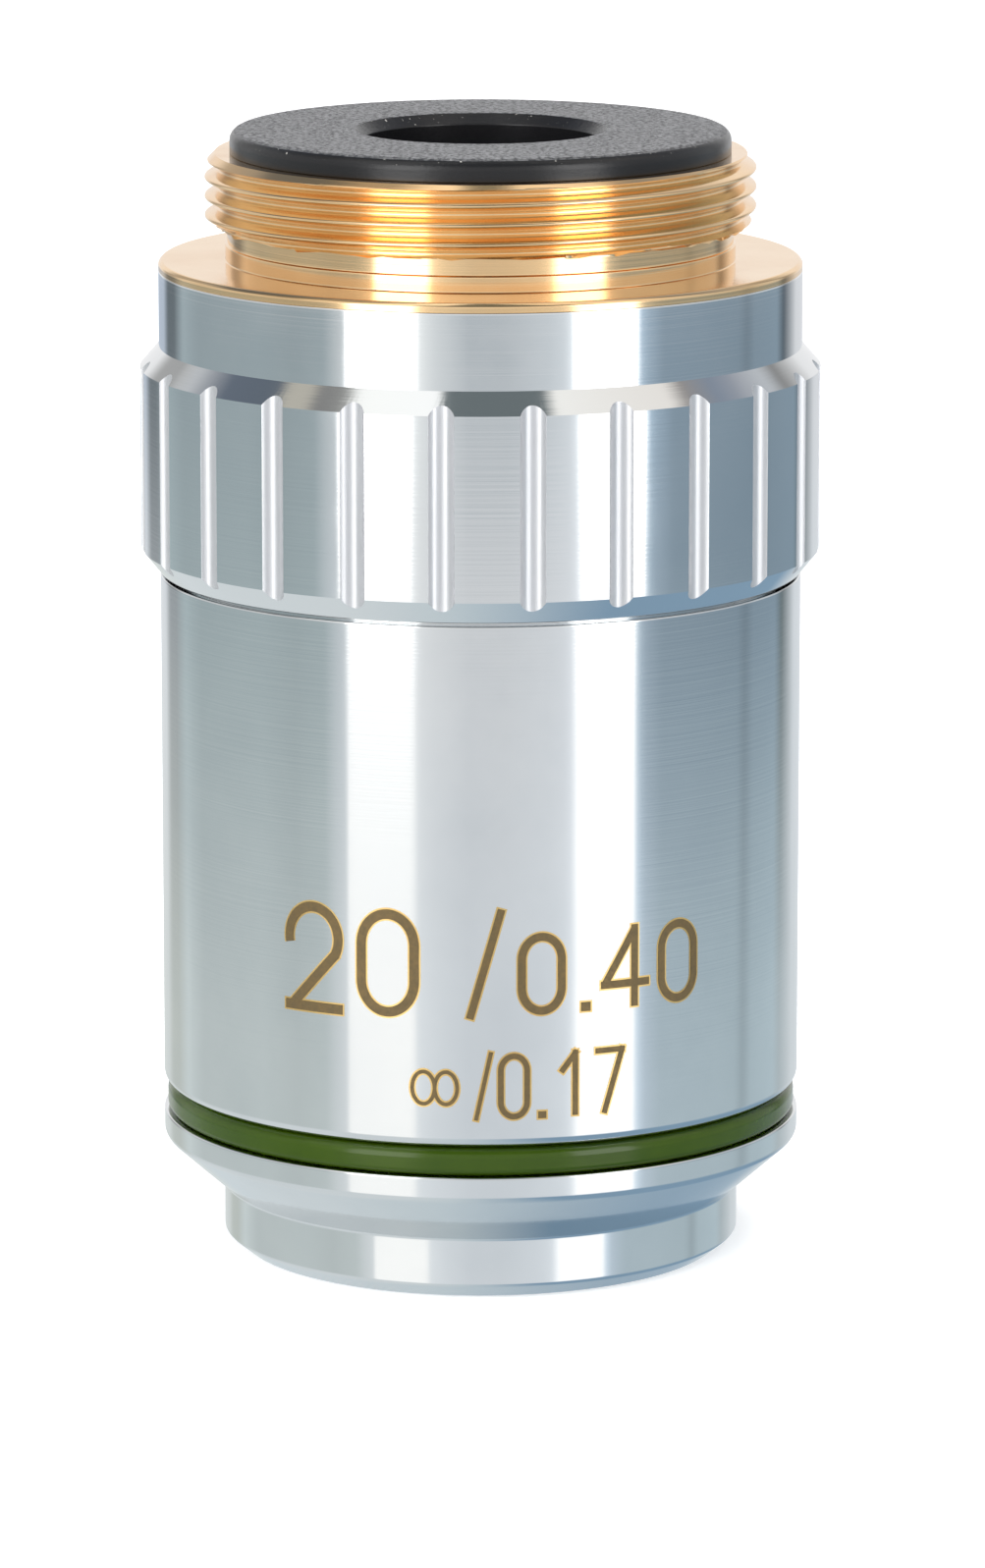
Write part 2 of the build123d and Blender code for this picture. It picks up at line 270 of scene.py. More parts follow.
def turning_group() -> bpy.types.NodeTree:
    """Build the marks that a lathe tool leaves: rings round the axis, a little broken up.

    Returns:
        The group, with Height and Smudge outputs.
    """
    shader, given, result = new_group(
        "turning_marks", {"Rings": 9000.0, "Waviness": 0.6}, ("Height", "Smudge")
    )
    place, rings = given["Place"], given["Rings"]
    parts = shader.node("SeparateXYZ", Vector=place).outputs
    turn = shader.math("ARCTAN2", parts[1], parts[0])
    unrolled = shader.node(
        "CombineXYZ",
        X=shader.times(shader.from_axis(place), rings),
        Y=shader.times(parts[2], rings),
        Z=shader.times(turn, given["Waviness"]),
    )
    marks = shader.noise(unrolled.outputs[0], scale=1.0, detail=2.0, roughness=0.6)
    smudge = shader.noise(place, scale=260.0, detail=4.0, roughness=0.55)
    shader.fill(result, Height=marks, Smudge=smudge)
    return shader.tree


def grain_group() -> bpy.types.NodeTree:
    """Build a fine grain with scattered pits and bright specks, which also place painted glints.

    Returns:
        The group, with Height, Pits and Specks outputs.
    """
    shader, given, result = new_group(
        "fine_grain", {"Grains": 6000.0, "Sparsity": 0.60}, ("Height", "Pits", "Specks")
    )
    place, grains = given["Place"], given["Grains"]
    fine = shader.noise(place, grains, detail=5.0, roughness=0.7)
    coarse = shader.noise(place, shader.times(grains, 0.4), detail=2.0, roughness=0.5)
    cells = shader.node("TexVoronoi", Vector=place, Scale=shader.times(grains, 0.8))
    shader.fill(
        result,
        Height=shader.math("ADD", fine, shader.times(coarse, 0.8)),
        Pits=shader.remap(fine, 0.53, 0.43),
        Specks=shader.times(
            shader.math("GREATER_THAN", fine, given["Sparsity"]),
            shader.remap(cells.outputs["Distance"], 0.3, 0.1),
        ),
    )
    return shader.tree


TURNING = turning_group()
GRAIN = grain_group()
FINE_MARKS = 0.0000008


def blank_material(name: str) -> tuple[Material, Shader, Node, Socket]:
    """Start a material that reads the piece's own coordinates.

    Args:
        name: The material's name.

    Returns:
        The material, its shader, its Principled node, and the coordinates' socket.
    """
    material = bpy.data.materials.new(name)
    material.use_nodes = True
    shader = Shader(material.node_tree)
    principled = material.node_tree.nodes["Principled BSDF"]
    return material, shader, principled, shader.node("TexCoord").outputs["Object"]


def handled(shader: Shader, smudge: Socket, roughness: float) -> Socket:
    """Spread a roughness between clean and handled spots."""
    return shader.remap(smudge, 0.3, 0.8, roughness * 0.8, roughness * 1.5)


# ---------------------------------------------------------------- finishes


@dataclass(frozen=True)
class Finish:
    """What every finish has: its name, its material slot and its main colour."""

    name: str
    slot: Slot
    colour: Colour

    def material(self) -> Material:
        """Build the finish's material."""
        raise NotImplementedError


@dataclass(frozen=True)
class TurnedMetal(Finish):
    """Bare, plated or blackened metal that shows the lathe's marks."""

    shade: Colour
    roughness: float
    mark_depth: float = FINE_MARKS
    metallic: float = 1.0

    def material(self) -> Material:
        """Build the material: marks in the bump, handling in the roughness and the colour.

        Returns:
            The material.
        """
        material, shader, principled, place = blank_material(self.name)
        marks = shader.group(TURNING, Place=place).outputs
        shader.fill(
            principled,
            Base_Color=shader.blend(
                shader.remap(marks["Smudge"], 0.35, 0.75), self.colour, self.shade
            ),
            Roughness=handled(shader, marks["Smudge"], self.roughness),
            Metallic=self.metallic,
            Normal=shader.bump(marks["Height"], self.mark_depth),
        )
        return material


@dataclass(frozen=True)
class FlutedPlate(Finish):
    """Plated metal with turned lands, and satin flutes with a cutter's marks along them."""

    flute_colour: Colour
    roughness: float
    flute_roughness: float
    flute_metallic: float
    flute_floor: float = 0.01215
    land: float = 0.01259
    wall_slope: float = 0.1
    cutter_marks: float = 9000.0
    cutter_draw: float = 0.03
    cutter_depth: float = 4.0

    def material(self) -> Material:
        """Build the material: flutes are the upright faces inside the lands.

        Returns:
            The material.
        """
        material, shader, principled, place = blank_material(self.name)
        marks = shader.group(TURNING, Place=place).outputs
        away = shader.from_axis(place)
        slope = shader.math("ABSOLUTE", shader.facing_up())
        upright = shader.math("LESS_THAN", slope, self.wall_slope)
        in_land = shader.math("LESS_THAN", away, self.land)
        past_floor = shader.math("GREATER_THAN", away, self.flute_floor)
        flute = shader.times(upright, shader.times(in_land, past_floor))
        drawn = shader.node("Mapping", Vector=place, Scale=(1.0, 1.0, self.cutter_draw)).outputs[0]
        cuts = shader.noise(drawn, self.cutter_marks, detail=3.0, roughness=0.6)
        rough = handled(shader, marks["Smudge"], self.roughness)
        rough_flute = shader.remap(
            cuts, 0.3, 0.7, self.flute_roughness * 0.85, self.flute_roughness * 1.15
        )
        change = shader.times(flute, shader.math("SUBTRACT", rough_flute, rough))
        turned_height = shader.times(marks["Height"], shader.math("SUBTRACT", 1.0, flute))
        cut_height = shader.times(cuts, shader.times(flute, self.cutter_depth))
        ridges = shader.math("ADD", turned_height, cut_height)
        shader.fill(
            principled,
            Base_Color=shader.blend(flute, self.colour, self.flute_colour),
            Roughness=shader.math("ADD", rough, change),
            Metallic=shader.remap(flute, 0.0, 1.0, 1.0, self.flute_metallic),
            Normal=shader.bump(ridges, FINE_MARKS),
        )
        return material


@dataclass(frozen=True)
class GrainedBlack(Finish):
    """Black anodised metal with a grained top, smooth sides, and painted glints on its rounded edge.
    """

    frosted: Colour
    top_speck: Colour = (0.30, 0.30, 0.305)
    # painted highlight: the pale warm colour of the glints speckled on the rounded edge
    painted_edge_glint: Colour = (0.75, 0.72, 0.66)
    smooth_roughness: float = 0.24
    frosted_roughness: float = 0.6
    grain_depth: float = 0.000016
    gloss: float = 0.4

    def material(self) -> Material:
        """Build the material: faces that look up are frosted, and the others smooth and dark, with
        pale painted glints speckled over the rounded edge where it turns up.

        Returns:
            The material.
        """
        material, shader, principled, place = blank_material(self.name)
        grain = shader.group(GRAIN, Place=place).outputs
        up = shader.facing_up()
        top = shader.remap(up, 0.8, 0.98)
        pale = shader.blend(grain["Specks"], self.frosted, self.top_speck)
        frosted = shader.blend(shader.times(grain["Pits"], 0.9), pale, self.colour)
        # painted highlight: pale specks on the rounded edge, where it turns up to the light, stand in
        # for glints
        painted_edge_glints = shader.times(grain["Specks"], shader.remap(up, 0.2, 0.6))
        dark = shader.blend(painted_edge_glints, self.colour, self.painted_edge_glint)
        height = shader.times(grain["Height"], shader.remap(up, 0.1, 0.9, 0.3, 1.0))
        shader.fill(
            principled,
            Base_Color=shader.blend(top, dark, frosted),
            Roughness=shader.remap(top, 0.0, 1.0, self.smooth_roughness, self.frosted_roughness),
            Specular_IOR_Level=self.gloss,
            Normal=shader.bump(height, self.grain_depth),
        )
        return material


@dataclass(frozen=True)
class Enamel(Finish):
    """Glossy paint that has flowed into a rounded ring."""

    thin: Colour
    flow_depth: float = 0.000006
    gloss: float = 0.25
    coat: float = 0.12
    coat_roughness: float = 0.05

    def material(self) -> Material:
        """Build the material: a slightly uneven film under a clear gloss.

        Returns:
            The material.
        """
        material, shader, principled, place = blank_material(self.name)
        flow = shader.noise(place, scale=420.0, detail=3.0, roughness=0.5)
        shader.fill(
            principled,
            Base_Color=shader.blend(shader.remap(flow, 0.35, 0.7), self.colour, self.thin),
            Roughness=shader.remap(flow, 0.3, 0.7, 0.12, 0.2),
            Specular_IOR_Level=self.gloss,
            Coat_Weight=self.coat,
            Coat_Roughness=self.coat_roughness,
            Normal=shader.bump(flow, self.flow_depth),
        )
        return material


@dataclass(frozen=True)
class CoatedGlass(Finish):
    """Polished lens glass with a faint coating bloom."""

    bloom: Colour
    refraction: float

    def material(self) -> Material:
        """Build the material: clear where it faces the eye, coloured by the coating at its rim.

        Returns:
            The material.
        """
        material, shader, principled, place = blank_material(self.name)
        slant = shader.node("LayerWeight", Blend=0.35).outputs["Facing"]
        dust = shader.noise(place, scale=900.0, detail=4.0, roughness=0.6)
        shader.fill(
            principled,
            Base_Color=shader.blend(slant, self.colour, self.bloom),
            Roughness=shader.remap(dust, 0.5, 0.8, 0.0, 0.04),
            Transmission_Weight=1.0,
            IOR=self.refraction,
        )
        return material


@dataclass(frozen=True)
class CutMetal(Finish):
    """The floor of an engraved stroke: dull brass with the cutter's grain."""

    stain: Colour
    roughness: float
    grains: float = 9000.0
    grain_depth: float = 0.000004

    def material(self) -> Material:
        """Build the material: brown stain in patches over cut brass.

        Returns:
            The material.
        """
        material, shader, principled, place = blank_material(self.name)
        height = shader.group(GRAIN, Place=place, Grains=self.grains).outputs["Height"]
        patch = shader.remap(height, 0.7, 1.15)
        shader.fill(
            principled,
            Base_Color=shader.blend(patch, self.colour, self.stain),
            Roughness=shader.remap(patch, 0.0, 1.0, self.roughness, self.roughness * 1.4),
            Metallic=shader.remap(patch, 0.0, 1.0, 0.6, 0.3),
            Normal=shader.bump(height, self.grain_depth),
        )
        return material


PLATING = TurnedMetal("bright_plating", Slot.PLATED, (0.76, 0.775, 0.78), (0.71, 0.73, 0.74), 0.07)
MILLED_PLATING = FlutedPlate(
    "milled_plating",
    Slot.PLATED,
    colour=PLATING.colour,
    flute_colour=(0.60, 0.605, 0.62),
    roughness=0.07,
    flute_roughness=0.36,
    flute_metallic=0.75,
)
TURNED_BRASS = TurnedMetal(
    "turned_brass", Slot.BRASS, (0.94, 0.66, 0.37), (0.88, 0.58, 0.30), 0.12, 0.0000016
)
THREAD_BRASS = TurnedMetal(
    "thread_brass", Slot.BRASS, (0.95, 0.67, 0.38), (0.89, 0.58, 0.30), 0.14, 0.0000012
)
EDGE_BRASS = TurnedMetal(
    "cut_edge_brass", Slot.BRASS, (0.80, 0.56, 0.22), (0.66, 0.43, 0.16), 0.35
)
OXIDE = TurnedMetal(
    "black_oxide", Slot.BLACK_BRASS, (0.035, 0.034, 0.036), (0.05, 0.047, 0.045), 0.42, metallic=0.6
)
DARK_PLATE = TurnedMetal(
    "dark_anodising",
    Slot.BLACK_ALUMINIUM,
    (0.03, 0.03, 0.033),
    (0.045, 0.045, 0.048),
    0.38,
    metallic=0.3,
)
STEEL = TurnedMetal(
    "ground_steel", Slot.STEEL, (0.56, 0.57, 0.58), (0.47, 0.48, 0.50), 0.25, 0.000001
)
STOP_BLACK = GrainedBlack(
    "grained_black", Slot.BLACK_ALUMINIUM, (0.009, 0.009, 0.010), (0.20, 0.20, 0.204)
)
GREEN = Enamel("green_enamel", Slot.ENAMEL, (0.029, 0.062, 0.001), (0.036, 0.072, 0.001))
CROWN = CoatedGlass("crown_glass", Slot.CROWN, (0.97, 0.985, 0.98), (0.75, 0.72, 0.95), 1.52)
FLINT = CoatedGlass("flint_glass", Slot.FLINT, (0.985, 0.975, 0.95), (0.70, 0.85, 0.78), 1.65)
ENGRAVED = CutMetal("engraved_floor", Slot.BRASS, (0.18, 0.122, 0.052), (0.12, 0.088, 0.040), 0.45)


class FinishShelf:
    """Materials already built, so that pieces of one finish share one material."""

    def __init__(self) -> None:
        """Start with an empty shelf."""
        self.made: dict[str, Material] = {}

    def take(self, finish: Finish) -> Material:
        """Return the finish's material, built on its first use."""
        if finish.name not in self.made:
            self.made[finish.name] = finish.material()
        return self.made[finish.name]

    def coat(self, made: bpy.types.Object, finish: Finish) -> None:
        """Give an object the one material of a finish."""
        made.data.materials.clear()
        made.data.materials.append(self.take(finish))


SHELF = FinishShelf()


# ---------------------------------------------------------------- turning and finishing pieces


def spin(
    form: bmesh.types.BMesh,
    parts: list,
    angle: float,
    steps: int,
    rise: float = 0.0,
    closed: bool = False,
) -> None:
    """Spin parts of a form round the Z axis.

    Args:
        form: The form.
        parts: Its vertices and edges to spin.
        angle: How far they go round, in radians.
        steps: In how many steps.
        rise: How far each step climbs.
        closed: Whether the last step joins the first.
    """
    bmesh.ops.spin(
        form,
        geom=parts,
        cent=(0, 0, 0),
        axis=(0, 0, 1),
        dvec=(0, 0, rise),
        angle=angle,
        steps=steps,
        use_merge=closed,
        use_normal_flip=False,
        use_duplicate=False,
    )


def round_points(form: bmesh.types.BMesh, points: list[bmesh.types.BMVert], reach: float) -> None:
    """Round corners of an outline.

    Args:
        form: The form that holds the outline.
        points: The corners.
        reach: How far the rounding starts from each corner.
    """
    bmesh.ops.bevel(
        form,
        geom=points,
        offset=reach,
        offset_type="OFFSET",
        segments=5,
        profile=0.5,
        affect="VERTICES",
        material=-1,
    )


def grow(vert: bmesh.types.BMVert, share: float) -> None:
    """Move a vertex away from the axis, or towards it, by a share of its radius."""
    vert.co.x *= share
    vert.co.y *= share


def linked_object(name: str, form: bmesh.types.BMesh) -> bpy.types.Object:
    """Make an object of a form and put it in the scene.

    Args:
        name: The object's name.
        form: The form, which is freed.

    Returns:
        The object.
    """
    mesh = bpy.data.meshes.new(name)
    form.to_mesh(mesh)
    form.free()
    made = bpy.data.objects.new(name, mesh)
    bpy.context.scene.collection.objects.link(made)
    return made


@dataclass(frozen=True)
class Corner:
    """A corner of a turned outline: its radius and height, and how far its edge is rounded."""

    radius: float
    height: float
    rounding: float = 0.0


class Lathe:
    """Turns outlines into shells, with each rounded edge held by a narrow band on both sides."""

    support = 0.03
    weld = 0.00005

    def __init__(self, steps: int = 240) -> None:
        """Set how many steps make a full turn."""
        self.steps = steps

    def with_supports(self, outline: list[Corner], closed: bool) -> list[Corner]:
        """Add a plain corner beside each rounded one, so that the plain surfaces keep true normals.

        Args:
            outline: The outline's corners.
            closed: Whether the last corner joins the first.

        Returns:
            The longer outline.
        """
        result: list[Corner] = []
        count = len(outline)
        for index, corner in enumerate(outline):
            if corner.rounding <= 0:
                result.append(corner)
                continue
            here = Vector((corner.radius, corner.height))
            sides = []
            for other_index in (index - 1, index + 1):
                if not closed and not 0 <= other_index < count:
                    sides.append(None)
                    continue
                other = outline[other_index % count]
                there = Vector((other.radius, other.height))
                length = (there - here).length
                reach = corner.rounding + self.support
                room = length - other.rounding - 2 * self.support
                sides.append(here.lerp(there, reach / length) if reach < room else None)
            if sides[0] is not None:
                result.append(Corner(*sides[0]))
            result.append(corner)
            if sides[1] is not None:
                result.append(Corner(*sides[1]))
        return result

    def wire(self, outline: list[Corner], closed: bool = True) -> bmesh.types.BMesh:
        """Draw an outline in the plane of the axis, and round its corners.

        Args:
            outline: The outline's corners.
            closed: Whether the last corner joins the first.

        Returns:
            The outline as wire edges.
        """
        form = bmesh.new()
        corners = self.with_supports(outline, closed)
        points = [form.verts.new((corner.radius, 0.0, corner.height)) for corner in corners]
        for first, second in zip(points, points[1:]):
            form.edges.new((first, second))
        if closed:
            form.edges.new((points[-1], points[0]))
        for corner, point in zip(corners, points):
            if corner.rounding > 0:
                round_points(form, [point], corner.rounding)
        return form

    def turn(self, outline: list[Corner], closed: bool = True) -> bmesh.types.BMesh:
        """Turn an outline through a full circle.

        Args:
            outline: The outline's corners.
            closed: Whether the last corner joins the first; an open one ends on the axis.

        Returns:
            The turned shell.
        """
        form = self.wire(outline, closed)
        spin(form, form.verts[:] + form.edges[:], math.tau, self.steps, closed=True)
        bmesh.ops.remove_doubles(form, verts=form.verts, dist=self.weld)
        bmesh.ops.recalc_face_normals(form, faces=form.faces)
        return form


@dataclass(frozen=True)
class Piece:
    """A finished form with its name, its finish and the CAD nodes that it stands for."""

    name: str
    finish: Finish
    stands_for: tuple[str, ...] = ()
    sharp_from: float = 28.0

    def make(self, form: bmesh.types.BMesh) -> None:
        """Turn a form in millimetres into a dressed object in metres, with its place in its mesh.

        Args:
            form: The form, which is freed.
        """
        bmesh.ops.scale(form, vec=(MILLIMETRE,) * 3, verts=form.verts)
        made = linked_object(self.name, form)
        made.data.polygons.foreach_set("use_smooth", [True] * len(made.data.polygons))
        made.data.set_sharp_from_angle(angle=math.radians(self.sharp_from))
        SHELF.coat(made, self.finish)
        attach(made, BODY)
        if self.stands_for:
            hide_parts(*self.stands_for)
        LOG.info("%s: %d faces, finish %s", self.name, len(made.data.polygons), self.finish.name)


# ---------------------------------------------------------------- the objective's sub-assemblies


@dataclass
class Nose:
    """The turned nose, with the coloured ring in its groove and the front cell in its window."""

    body_radius: float = 11.9
    face_inner: float = 7.15
    tip_radius: float = 9.0
    tip_height: float = 0.52
    side_radius: float = 9.65
    side_height: float = 2.3
    lip_height: float = 4.3
    groove_height: float = 5.18
    groove_radius: float = 11.05
    ledge_height: float = 6.31
    tube_radius: float = 10.63
    skirt_height: float = 8.21
    skirt_bore: float = 9.63
    inner_height: float = 3.45
    bore: float = 8.4
    wall: float = 1.6
    window: float = 5.75
    dish: float = 0.8
    ring_crown: float = 11.77
    ring_rounding: float = 0.4
    ring_foot: float = 0.26
    cell_bore: float = 4.35
    cell_seat: float = 0.85
    bezel_inner: float = 4.9
    bezel_outer: float = 5.55
    bezel_height: float = 0.35
    bezel_slope: float = 0.25
    cell_cone: tuple[float, float] = (2.4, 3.0)
    cell_waist: float = 6.565
    cell_collar: float = 7.58
    cell_step: float = 4.6
    cell_top: float = 6.0
    cell_well: float = 4.92
    lathe: Lathe = field(default_factory=Lathe)

    def cap(self) -> None:
        """Turn the nose cap: flat end, chamfer, cone, lip, groove and skirt."""
        form = self.lathe.turn(
            [
                Corner(self.face_inner, 0, 0.05),
                Corner(self.tip_radius, 0, 0.06),
                Corner(self.side_radius, self.tip_height, 0.08),
                Corner(self.side_radius, self.side_height, 0.06),
                Corner(self.body_radius, self.lip_height, 0.14),
                Corner(self.body_radius, self.groove_height, 0.06),
                Corner(self.groove_radius, self.groove_height),
                Corner(self.groove_radius, self.ledge_height),
                Corner(self.tube_radius, self.ledge_height),
                Corner(self.tube_radius, self.skirt_height),
                Corner(self.skirt_bore, self.skirt_height),
                Corner(self.skirt_bore, self.inner_height),
                Corner(self.bore, self.inner_height),
                Corner(self.bore, self.wall),
                Corner(self.window, self.wall),
                Corner(self.window, self.dish, 0.04),
            ]
        )
        Piece("nose_cap_turned", PLATING, ("nose_cap",)).make(form)

    def ring(self) -> None:
        """Turn the convex ring that fills the groove."""
        inner = self.groove_radius + 0.02
        low, high = self.groove_height + 0.015, self.ledge_height - 0.03
        form = self.lathe.turn(
            [
                Corner(inner, high),
                Corner(inner, low),
                Corner(self.ring_crown, low, self.ring_foot),
                Corner(self.ring_crown, high, self.ring_rounding),
            ]
        )
        Piece("colour_ring_enamelled", GREEN, ("colour_ring",)).make(form)

    def front_cell(self) -> None:
        """Turn the front lens's cell, whose bevel frames the lens in the window."""
        form = self.lathe.turn(
            [
                Corner(self.cell_bore, self.cell_seat),
                Corner(self.cell_bore, self.bezel_height + self.bezel_slope),
                Corner(self.bezel_inner, self.bezel_height, 0.03),
                Corner(self.bezel_outer, self.bezel_height, 0.05),
                Corner(self.bezel_outer, self.cell_cone[0]),
                Corner(self.cell_waist, self.cell_cone[1]),
                Corner(self.cell_waist, self.cell_step),
                Corner(self.cell_collar, self.cell_step),
                Corner(self.cell_collar, self.cell_top),
                Corner(self.cell_well, self.cell_top),
                Corner(self.cell_well, self.cell_seat),
            ]
        )
        Piece("front_cell_turned", OXIDE, ("front_cell",)).make(form)

    def build(self) -> None:
        """Build the nose's pieces."""
        self.cap()
        self.ring()
        self.front_cell()


@dataclass
class Shells:
    """The barrel sleeve and the fluted grip."""

    body_radius: float = 11.9
    barrel_low: float = 6.31
    barrel_high: float = 25.54
    barrel_bore: float = 10.65
    tongue_radius: float = 11.3
    tongue_top: float = 27.26
    grip_low: float = 25.66
    grip_land: float = 26.52
    grip_top: float = 33.27
    collar_low: float = 34.07
    collar_high: float = 36.88
    grip_radius: float = 12.6
    collar_bore: float = 10.95
    flutes: int = 24
    flute_radius: float = 0.53
    flute_depth: float = 0.3
    flute_turn: float = 8.6
    cutter_overrun: float = 1.0
    tongue_play: float = 0.02
    lathe: Lathe = field(default_factory=Lathe)
    fine_lathe: Lathe = field(default_factory=lambda: Lathe(360))

    def barrel(self) -> None:
        """Turn the plain sleeve that carries the numerals."""
        form = self.lathe.turn(
            [
                Corner(self.barrel_bore, self.barrel_low),
                Corner(self.body_radius, self.barrel_low, 0.34),
                Corner(self.body_radius, self.barrel_high, 0.05),
                Corner(self.tongue_radius, self.barrel_high),
                Corner(self.tongue_radius, self.tongue_top),
                Corner(self.barrel_bore, self.tongue_top),
            ]
        )
        Piece("barrel_sleeve_turned", PLATING, ("barrel_sleeve",)).make(form)

    def cutters(self) -> bpy.types.Object:
        """Make the round cutters that mill the flutes.

        Returns:
            The cutters, as one object.
        """
        form = bmesh.new()
        centre = self.grip_radius - self.flute_depth + self.flute_radius
        height = self.collar_low - self.grip_low
        for index in range(self.flutes):
            angle = math.radians(self.flute_turn + index * 360.0 / self.flutes)
            across, along = centre * math.cos(angle), centre * math.sin(angle)
            middle = Vector((across, along, self.grip_low + height / 2))
            bmesh.ops.create_cone(
                form,
                cap_ends=True,
                segments=64,
                radius1=self.flute_radius,
                radius2=self.flute_radius,
                depth=height + self.cutter_overrun,
                matrix=Matrix.Translation(middle),
            )
        return linked_object("flute_cutters", form)

    def grip(self) -> None:
        """Turn the collar and grip, then mill the flutes out of them."""
        socket = self.tongue_radius + self.tongue_play
        form = self.fine_lathe.turn(
            [
                Corner(socket, self.grip_low),
                Corner(self.body_radius, self.grip_low, 0.05),
                Corner(self.grip_radius, self.grip_land),
                Corner(self.grip_radius, self.grip_top),
                Corner(self.body_radius, self.collar_low),
                Corner(self.body_radius, self.collar_high, 0.05),
                Corner(self.collar_bore, self.collar_high),
                Corner(self.collar_bore, self.tongue_top),
                Corner(socket, self.tongue_top),
            ]
        )
        blank, cutters = linked_object("grip_blank", form), self.cutters()
        milling = blank.modifiers.new("milling", "BOOLEAN")
        milling.operation = "DIFFERENCE"
        milling.solver = "EXACT"
        milling.object = cutters
        depsgraph = bpy.context.evaluated_depsgraph_get()
        cut_mesh = bpy.data.meshes.new_from_object(blank.evaluated_get(depsgraph))
        for spare in (blank, cutters):
            bpy.data.objects.remove(spare)
        milled = bmesh.new()
        milled.from_mesh(cut_mesh)
        bpy.data.meshes.remove(cut_mesh)
        Piece("grip_sleeve_milled", MILLED_PLATING, ("grip_sleeve",), 20.0).make(milled)

    def build(self) -> None:
        """Build the sleeves."""
        self.barrel()
        self.grip()


@dataclass
class Mount:
    """The brass mount: flange, relief neck and a real thread, with the black stop in its end.

    The thread's front_crest is the height at which a crest faces the camera.
    """

    bore: float = 8.0
    skirt_bore: float = 9.93
    skirt_radius: float = 10.93
    skirt_low: float = 33.18
    skirt_floor: float = 36.53
    flange_low: float = 36.88
    flange_radius: float = 11.9
    shoulder: float = 37.23
    flange_bevel: float = 0.12
    neck_radius: float = 9.348
    neck_step: float = 0.07
    neck_step_height: float = 0.62
    core_inset: float = 0.08
    thread_low: float = 38.53
    thread_high: float = 41.18
    crest: float = 10.16
    root: float = 9.708
    pitch: float = 25.4 / 36
    front_crest: float = 39.054
    end_chamfer: float = 0.36
    apex: float = 0.113
    rounding: float = 0.186
    steps_per_turn: int = 120
    thread_weld: float = 0.0005
    burr_seed: int = 11
    burr_swell: float = 0.014
    burr_drop: float = 0.09
    stop_radius: float = 9.248
    stop_high: float = 42.03
    stop_low: float = 39.68
    plug_radius: float = 7.98
    hole: float = 4.28
    hole_chamfer: float = 0.38
    stop_rounding: float = 0.4
    lathe: Lathe = field(default_factory=Lathe)

    def flange(self) -> None:
        """Turn the flange, the neck, the core of the thread and the skirt."""
        core = self.root - self.core_inset
        core_low, core_high = self.thread_low + 0.02, self.thread_high - 0.01
        foot = self.neck_radius + self.neck_step
        middle = self.shoulder + self.neck_step_height
        form = self.lathe.turn(
            [
                Corner(self.bore, core_high),
                Corner(core, core_high),
                Corner(core, core_low),
                Corner(self.neck_radius, core_low),
                Corner(self.neck_radius, middle, 0.03),
                Corner(foot, middle - 0.03, 0.03),
                Corner(foot, self.shoulder, 0.05),
                Corner(self.flange_radius - self.flange_bevel, self.shoulder, 0.04),
                Corner(self.flange_radius, self.shoulder - self.flange_bevel, 0.04),
                Corner(self.flange_radius, self.flange_low),
                Corner(self.skirt_radius, self.flange_low),
                Corner(self.skirt_radius, self.skirt_low),
                Corner(self.skirt_bore, self.skirt_low),
                Corner(self.skirt_bore, self.skirt_floor),
                Corner(self.bore, self.skirt_floor),
            ]
        )
        Piece("mount_flange_turned", TURNED_BRASS, ("thread_ring",)).make(form)

    def thread(self) -> None:
        """Cut the thread: a rounded 55 degree form swept up its helix, chamfered at both ends."""
        form = bmesh.new()
        start = self.front_crest - 2 * self.pitch
        middle = (self.crest + self.root) / 2
        quarter = self.pitch / 4
        points = [
            form.verts.new(place)
            for place in (
                (middle, 0, start),
                (self.crest + self.apex, 0, start + quarter),
                (self.root - self.apex, 0, start + 3 * quarter),
                (middle, 0, start + 4 * quarter),
            )
        ]
        for pair in zip(points, points[1:]):
            form.edges.new(pair)
        round_points(form, points[1:3], self.rounding)
        flanks = [edge for edge in form.edges if edge.calc_length() > self.rounding / 2]
        bmesh.ops.subdivide_edges(form, edges=flanks, cuts=2)
        turns = math.ceil((self.thread_high - start) / self.pitch) + 1
        spin(
            form,
            form.verts[:] + form.edges[:],
            math.tau * turns,
            self.steps_per_turn * turns,
            rise=self.pitch / self.steps_per_turn,
        )
        bmesh.ops.remove_doubles(form, verts=form.verts, dist=self.thread_weld)
        for height, way in ((self.thread_low, -1), (self.thread_high, 1)):
            bmesh.ops.bisect_plane(
                form,
                geom=form.verts[:] + form.edges[:] + form.faces[:],
                plane_co=(0, 0, height),
                plane_no=(0, 0, way),
                clear_outer=True,
            )
        self.chamfer(form)
        self.close_ends(form)
        bmesh.ops.recalc_face_normals(form, faces=form.faces)
        Piece("mounting_thread_cut", THREAD_BRASS, ("thread_ring",), 40.0).make(form)

    def chamfer(self, form: bmesh.types.BMesh) -> None:
        """Turn both ends of the thread down to their chamfers.

        Args:
            form: The thread.
        """
        least = self.crest - self.end_chamfer
        for vert in form.verts:
            upper = least + (self.thread_high - vert.co.z)
            lower = least + 2 * (vert.co.z - self.thread_low)
            limit = min(upper, lower)
            radius = math.hypot(vert.co.x, vert.co.y)
            if radius > limit:
                bmesh.ops.scale(form, vec=(limit / radius, limit / radius, 1), verts=[vert])

